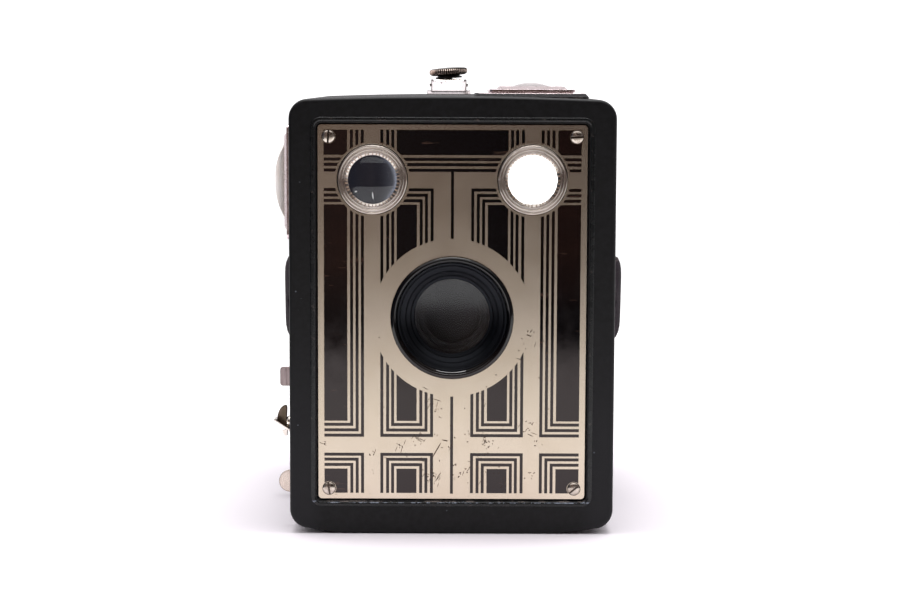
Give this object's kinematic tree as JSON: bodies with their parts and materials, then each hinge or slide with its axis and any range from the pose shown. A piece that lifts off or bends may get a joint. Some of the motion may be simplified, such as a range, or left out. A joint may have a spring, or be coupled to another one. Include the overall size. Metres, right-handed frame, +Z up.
{
  "type": "box camera",
  "caption": "Roll-film box camera with a striped metal front plate, two reflex finders, a rotary shutter, a winding key, film spools and a hinged back.",
  "frame": {"origin": "centre of the flat base the camera stands on", "axes": "+Z up, the lens looks along -Y, +X is to the right seen from the front"},
  "size_m": [0.0978, 0.1048, 0.1214],
  "materials": {
    "leatherette": "black pebbled leatherette over sheet metal",
    "black_enamel": "black wrinkle-free enamel, worn at the edges",
    "plate_metal": "champagne-tinted satin metal with dark enamel stripes",
    "nickel": "old nickel plate",
    "black_metal": "black painted sheet metal",
    "knob_metal": "darkened knurled metal",
    "steel": "plain steel",
    "glass": "clear polished glass",
    "mirror_glass": "silvered glass",
    "ruby_pane": "red celluloid",
    "strap_leather": "dark leather, rubbed at the edges"
  },
  "bodies": {
    "case": {"case_wrap": "leatherette", "front_frame": "black_enamel", "trim_plate": "plate_metal", "trim_screw_top_left": "nickel", "trim_screw_top_right": "nickel", "trim_screw_base_left": "nickel", "trim_screw_base_right": "nickel", "lens_bezel": "black_metal", "front_glass": "glass", "glass_retainer": "steel", "finder_bezel_left": "nickel", "finder_bezel_right": "nickel", "finder_lens_left": "glass", "finder_lens_right": "glass", "finder_box_left": "black_metal", "finder_box_right": "black_metal", "finder_mirror_left": "mirror_glass", "finder_mirror_right": "mirror_glass", "top_window_frame": "nickel", "top_window_glass": "glass", "side_window_frame": "nickel", "side_window_glass": "glass", "shutter_plate": "black_metal", "disc_stud": "steel", "lever_stud": "steel", "lens_board": "black_metal", "lens_cell": "nickel", "meniscus_lens": "glass", "light_cone": "black_metal", "film_carrier": "black_metal", "film_gate": "nickel", "supply_pin_left": "steel", "key_washer": "nickel", "hinge_leaf": "steel", "hinge_pin": "steel", "latch_base": "nickel", "latch_pin": "steel", "side_strap_left": "strap_leather", "side_strap_right": "strap_leather", "strap_rivet_left_front": "nickel", "strap_rivet_left_rear": "nickel", "strap_rivet_right_front": "nickel", "strap_rivet_right_rear": "nickel"},
    "door": {"back_door": "leatherette", "red_window": "ruby_pane", "red_window_ring": "nickel", "door_strike": "nickel"},
    "latch": {"latch_arm": "nickel", "latch_knob": "knob_metal"},
    "lever": {"shutter_lever": "nickel"},
    "shutter": {"shutter_disc": "black_metal"},
    "time_slide": {"time_tab": "nickel"},
    "winder": {"winder_sleeve": "black_metal"},
    "key": {"winding_key": "nickel"},
    "takeup": {"takeup_spool": "black_metal"},
    "supply": {"supply_spool": "black_metal"},
    "takeup_pin": {"takeup_pin": "steel"},
    "supply_pin": {"supply_pin_right": "steel"},
    "roller_base": {"film_roller_base": "steel"},
    "roller_top": {"film_roller_top": "steel"}
  },
  "joints": [
    {"name": "door_hinge", "type": "hinge", "parent": "case", "child": "door", "pos_m": [0, 0.0482, 0.0046], "axis": [-1, 0, 0], "range_deg": [0, 90]},
    {"name": "latch_lift", "type": "hinge", "parent": "case", "child": "latch", "pos_m": [-0.0011, 0.0266, 0.1162], "axis": [1, 0, 0], "range_deg": [0, 40], "stiffness_Nm_per_rad": 0.01, "springref_deg": -17.19},
    {"name": "shutter_release", "type": "hinge", "parent": "case", "child": "lever", "pos_m": [-0.024, -0.0425, 0.0165], "axis": [0, 1, 0], "range_deg": [0, 24], "stiffness_Nm_per_rad": 0.004, "springref_deg": -22.92},
    {"name": "shutter_turn", "type": "hinge", "parent": "case", "child": "shutter", "pos_m": [0, -0.04045, 0.038], "axis": [0, 1, 0], "range_deg": [-60, 0]},
    {"name": "time_slide", "type": "slide", "parent": "case", "child": "time_slide", "axis": [-1, 0, 0], "range_m": [0, 0.005]},
    {"name": "winder_spin", "type": "hinge", "parent": "case", "child": "winder", "pos_m": [-0.043, -0.003, 0.0214], "axis": [1, 0, 0], "continuous": true},
    {"name": "key_pull", "type": "slide", "parent": "winder", "child": "key", "axis": [-1, 0, 0], "range_m": [0, 0.005]},
    {"name": "takeup_spin", "type": "hinge", "parent": "case", "child": "takeup", "pos_m": [0, -0.003, 0.0214], "axis": [1, 0, 0], "continuous": true},
    {"name": "supply_spin", "type": "hinge", "parent": "case", "child": "supply", "pos_m": [0, -0.003, 0.092], "axis": [1, 0, 0], "continuous": true},
    {"name": "takeup_pin_pull", "type": "slide", "parent": "case", "child": "takeup_pin", "axis": [1, 0, 0], "range_m": [0, 0.003], "stiffness_N_per_m": 60, "springref_m": -0.001},
    {"name": "supply_pin_pull", "type": "slide", "parent": "case", "child": "supply_pin", "axis": [1, 0, 0], "range_m": [0, 0.003], "stiffness_N_per_m": 60, "springref_m": -0.001},
    {"name": "roller_base_spin", "type": "hinge", "parent": "case", "child": "roller_base", "pos_m": [0, 0.0376, 0.011], "axis": [1, 0, 0], "continuous": true},
    {"name": "roller_top_spin", "type": "hinge", "parent": "case", "child": "roller_top", "pos_m": [0, 0.0376, 0.1022], "axis": [1, 0, 0], "continuous": true}
  ],
  "couplings": [
    {"joint": "shutter_turn", "follows": "shutter_release", "ratio": -2.5},
    {"joint": "winder_spin", "follows": "takeup_spin", "ratio": 1}
  ]
}
